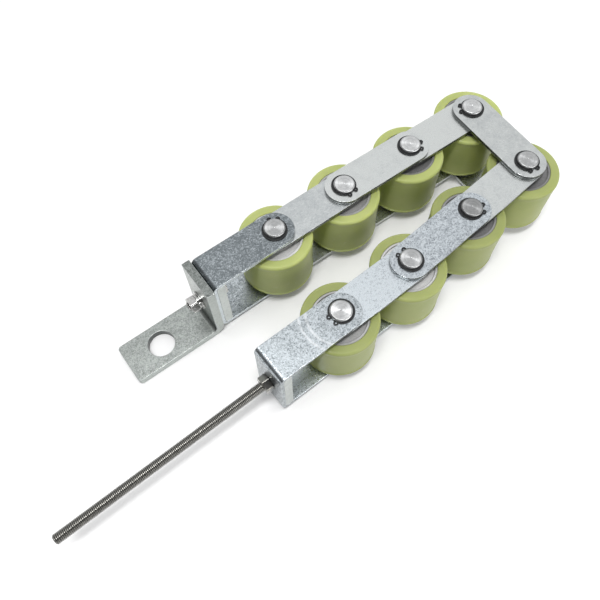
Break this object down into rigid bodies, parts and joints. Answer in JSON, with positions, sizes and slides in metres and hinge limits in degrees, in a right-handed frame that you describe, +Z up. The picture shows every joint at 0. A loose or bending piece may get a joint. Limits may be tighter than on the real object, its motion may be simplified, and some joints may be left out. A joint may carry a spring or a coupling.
{
  "type": "escalator chain",
  "caption": "Folded escalator roller chain: polyurethane rollers on pins between inner and outer link plates, with an anchor bracket at one end and a threaded tension rod at the other.",
  "frame": {"origin": "middle of the hole in the anchor bracket, on the underside of its foot", "axes": "+Z up, along the pins; +X from the anchor hole to the first pin, along the first row"},
  "size_m": [0.4834, 0.1458, 0.0713],
  "materials": {
    "yoke_zinc": "zinc plated, mottled",
    "block_steel": "sawn steel",
    "bracket_zinc": "zinc plated, mottled grey green",
    "bright_zinc": "bright zinc",
    "rod_steel": "rolled thread, oiled",
    "nut_steel": "plain steel",
    "plate_zinc": "zinc plated, satin",
    "circlip_black": "black oxide",
    "bearing_steel": "ground",
    "pin_steel": "turned",
    "tyre_polyurethane": "satin, slightly waxy",
    "hub_steel": "turned"
  },
  "bodies": {
    "anchor_end": {"anchor_yoke": "yoke_zinc", "anchor_block": "block_steel", "anchor_bracket": "bracket_zinc", "anchor_bolt": "bright_zinc", "anchor_nut": "bright_zinc", "anchor_flat_washer": "bright_zinc", "anchor_spring_washer": "bright_zinc", "circlips_anchor": "circlip_black", "sleeves_anchor": "bearing_steel", "pin_1": "pin_steel"},
    "inner_1": {"inner_link_1": "plate_zinc"},
    "outer_1": {"outer_link_1": "plate_zinc", "circlips_1": "circlip_black", "sleeves_1": "bearing_steel", "pin_2": "pin_steel", "pin_3": "pin_steel"},
    "inner_2": {"inner_link_2": "plate_zinc"},
    "outer_2": {"outer_link_2": "plate_zinc", "circlips_2": "circlip_black", "sleeves_2": "bearing_steel", "pin_4": "pin_steel", "pin_5": "pin_steel"},
    "inner_3": {"inner_link_3": "plate_zinc"},
    "outer_3": {"outer_link_3": "plate_zinc", "circlips_3": "circlip_black", "sleeves_3": "bearing_steel", "pin_6": "pin_steel", "pin_7": "pin_steel"},
    "inner_4": {"inner_link_4": "plate_zinc"},
    "tension_end": {"tension_yoke": "yoke_zinc", "tension_block": "block_steel", "tension_rod": "rod_steel", "rod_nuts": "nut_steel", "circlips_tension": "circlip_black", "sleeves_tension": "bearing_steel", "pin_8": "pin_steel"},
    "roller_1": {"tyre_1": "tyre_polyurethane", "hub_1": "hub_steel", "bearings_1": "bearing_steel"},
    "roller_2": {"tyre_2": "tyre_polyurethane", "hub_2": "hub_steel", "bearings_2": "bearing_steel"},
    "roller_3": {"tyre_3": "tyre_polyurethane", "hub_3": "hub_steel", "bearings_3": "bearing_steel"},
    "roller_4": {"tyre_4": "tyre_polyurethane", "hub_4": "hub_steel", "bearings_4": "bearing_steel"},
    "roller_5": {"tyre_5": "tyre_polyurethane", "hub_5": "hub_steel", "bearings_5": "bearing_steel"},
    "roller_6": {"tyre_6": "tyre_polyurethane", "hub_6": "hub_steel", "bearings_6": "bearing_steel"},
    "roller_7": {"tyre_7": "tyre_polyurethane", "hub_7": "hub_steel", "bearings_7": "bearing_steel"},
    "roller_8": {"tyre_8": "tyre_polyurethane", "hub_8": "hub_steel", "bearings_8": "bearing_steel"}
  },
  "joints": [
    {"name": "link_hinge_1", "type": "hinge", "parent": "anchor_end", "child": "inner_1", "pos_m": [0.117, 0, 0.03565], "axis": [0, 0, 1], "range_deg": [-24, 115]},
    {"name": "link_hinge_2", "type": "hinge", "parent": "inner_1", "child": "outer_1", "pos_m": [0.1855, 0, 0.03565], "axis": [0, 0, -1], "range_deg": [-115, 14]},
    {"name": "link_hinge_3", "type": "hinge", "parent": "outer_1", "child": "inner_2", "pos_m": [0.25399, -0.0012, 0.03565], "axis": [0, 0, 1], "range_deg": [-8, 115]},
    {"name": "link_hinge_4", "type": "hinge", "parent": "inner_2", "child": "outer_2", "pos_m": [0.32248, -0.00239, 0.03565], "axis": [0, 0, -1], "range_deg": [-115, 4]},
    {"name": "link_hinge_5", "type": "hinge", "parent": "outer_2", "child": "inner_3", "pos_m": [0.31949, -0.07083, 0.03565], "axis": [0, 0, 1], "range_deg": [-4, 115]},
    {"name": "link_hinge_6", "type": "hinge", "parent": "inner_3", "child": "outer_3", "pos_m": [0.25131, -0.07739, 0.03565], "axis": [0, 0, -1], "range_deg": [-115, 6]},
    {"name": "link_hinge_7", "type": "hinge", "parent": "outer_3", "child": "inner_4", "pos_m": [0.18307, -0.08336, 0.03565], "axis": [0, 0, 1], "range_deg": [-14, 115]},
    {"name": "link_hinge_8", "type": "hinge", "parent": "inner_4", "child": "tension_end", "pos_m": [0.11461, -0.08575, 0.03565], "axis": [0, 0, -1], "range_deg": [-115, 20]},
    {"name": "roller_spin_1", "type": "hinge", "parent": "anchor_end", "child": "roller_1", "pos_m": [0.117, 0, 0.03565], "axis": [0, 0, 1], "continuous": true},
    {"name": "roller_spin_2", "type": "hinge", "parent": "outer_1", "child": "roller_2", "pos_m": [0.1855, 0, 0.03565], "axis": [0, 0, 1], "continuous": true},
    {"name": "roller_spin_3", "type": "hinge", "parent": "outer_1", "child": "roller_3", "pos_m": [0.25399, -0.0012, 0.03565], "axis": [0, 0, 1], "continuous": true},
    {"name": "roller_spin_4", "type": "hinge", "parent": "outer_2", "child": "roller_4", "pos_m": [0.32248, -0.00239, 0.03565], "axis": [0, 0, 1], "continuous": true},
    {"name": "roller_spin_5", "type": "hinge", "parent": "outer_2", "child": "roller_5", "pos_m": [0.31949, -0.07083, 0.03565], "axis": [0, 0, 1], "continuous": true},
    {"name": "roller_spin_6", "type": "hinge", "parent": "outer_3", "child": "roller_6", "pos_m": [0.25131, -0.07739, 0.03565], "axis": [0, 0, 1], "continuous": true},
    {"name": "roller_spin_7", "type": "hinge", "parent": "outer_3", "child": "roller_7", "pos_m": [0.18307, -0.08336, 0.03565], "axis": [0, 0, 1], "continuous": true},
    {"name": "roller_spin_8", "type": "hinge", "parent": "tension_end", "child": "roller_8", "pos_m": [0.11461, -0.08575, 0.03565], "axis": [0, 0, 1], "continuous": true}
  ]
}
